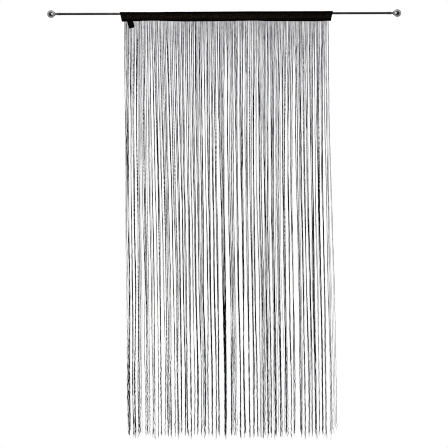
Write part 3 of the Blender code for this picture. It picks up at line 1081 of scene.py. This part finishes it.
def build_strings():
    paths = hang_strings()
    wound = entwined_pairs(paths)
    single = [k for k in range(STRINGS) if k not in wound]
    tree = string_tree(YARN)

    def strings_piece(name, members, **sizes):
        lines = [[tuple(point) for point in paths[:, k]] for k in members]
        return grow(name, lines_mesh("string_paths", lines), tree, **sizes)

    made = []
    for k in range(STRING_PIECES):
        first, last = (round(len(single) * edge / STRING_PIECES) for edge in (k, k + 1))
        made.append(strings_piece(f"strings_{k + 1}", single[first:last], Seed=11 + 20 * k))
    sizes = {"Segments": 380, "Twist Radius": 1.25 * MM, "Wander": 0.3 * MM}
    made.append(strings_piece("strings_entwined", wound, **sizes))
    return made


# ---------------------------------------------------------------- stage


def build_floor():
    mesh = bpy.data.meshes.new("floor")
    reach, z = 14.0, FRINGE_LOW.z - 30 * MM
    corners = [(-reach, -reach, z), (reach, -reach, z), (reach, reach, z), (-reach, reach, z)]
    mesh.from_pydata(corners, [], [(0, 1, 2, 3)])
    material, _, shader = new_material("floor_white", (0, 0, 0), 1.0, specular=0)
    shader.inputs["Emission Color"].default_value = (1, 1, 1, 1)
    shader.inputs["Emission Strength"].default_value = 1.0
    mesh.materials.append(material)
    floor = new_object("floor", mesh)
    floor.visible_glossy = False


def build_world():
    """White all round. The metal sees a dim room with a brighter back, and the cloth an even light."""
    world = bpy.data.worlds.new("studio")
    bpy.context.scene.world = world
    world.use_nodes = True
    tree = world.node_tree
    tree.nodes.clear()
    direction = add(tree, "ShaderNodeTexCoord").outputs["Generated"]
    split = add(tree, "ShaderNodeSeparateXYZ", Vector=direction)
    behind = in_step(tree, split.outputs["Y"], -0.75, 0.1, 0.045, 0.72)
    floor_dims = in_step(tree, split.outputs["Z"], -0.9, 0.4, 0.6, 1.0)
    above = in_step(tree, split.outputs["Z"], 0.0, 0.8, 0.0, 0.12)
    room = calc(tree, "ADD", calc(tree, "MULTIPLY", behind, floor_dims), above)
    seen = add(tree, "ShaderNodeLightPath")
    level = add(tree, "ShaderNodeMix", {"data_type": "FLOAT"})
    feed(tree, level.inputs[0], seen.outputs["Is Glossy Ray"])
    level.inputs[2].default_value = 0.40
    feed(tree, level.inputs[3], room)
    white = add(tree, "ShaderNodeMix", {"data_type": "FLOAT"})
    feed(tree, white.inputs[0], seen.outputs["Is Camera Ray"])
    feed(tree, white.inputs[2], level.outputs[0])
    white.inputs[3].default_value = 1.0
    background = add(tree, "ShaderNodeBackground", Color=(1, 1, 1, 1), Strength=white.outputs[0])
    out = add(tree, "ShaderNodeOutputWorld")
    tree.links.new(background.outputs[0], out.inputs["Surface"])
    bpy.context.scene.view_settings.view_transform = "Standard"


def build_lamps():
    """A round softbox in front, a little left of centre, and a long one above the rod."""
    aim = Vector((0.1, 0, -0.05))
    for name, place, size, energy in (
        ("softbox", (-0.143, -0.925, -0.02), (0.62, 0.58), 8.6),
        ("top_light", (0, -0.12, 0.95), (1.1, 0.5), 0.6),
    ):
        lamp = bpy.data.lights.new(name, "AREA")
        lamp.shape = "ELLIPSE"
        lamp.size, lamp.size_y = size
        lamp.energy = energy
        obj = bpy.data.objects.new(name, lamp)
        bpy.context.scene.collection.objects.link(obj)
        obj.location = place
        obj.rotation_euler = (aim - obj.location).to_track_quat("-Z", "Y").to_euler()


def build_camera():
    """A long lens straight in front, which frames the curtain from the rod to just below its tips."""
    view_width, distance, roll = 2.101, 12.0, math.radians(0.165)
    middle_x, middle_z = -3.8 * MM, -0.987
    data = bpy.data.cameras.new("camera")
    data.sensor_width = 36
    data.lens = data.sensor_width * distance / view_width
    data.clip_end = 100
    camera = bpy.data.objects.new("camera", data)
    bpy.context.scene.collection.objects.link(camera)
    camera.location = (middle_x, -distance, middle_z)
    camera.rotation_euler = (math.pi / 2, roll, 0)
    bpy.context.scene.camera = camera
    bpy.context.scene.cycles.filter_width = 1.0


def main():
    finished(build_rod(), "rod", "rod")
    left, right = build_finials()
    finished(left, "finial", "finial_left")
    finished(right, "finial", "finial_right")
    heading = finished(build_heading(), "heading", "heading")
    seams = finished(build_seams(), "heading")
    tab = finished(build_tab(), "tab", "tab")
    strings = [finished(piece, "strings", "strings") for piece in build_strings()]
    build_floor()
    build_world()
    build_lamps()
    build_camera()


main()
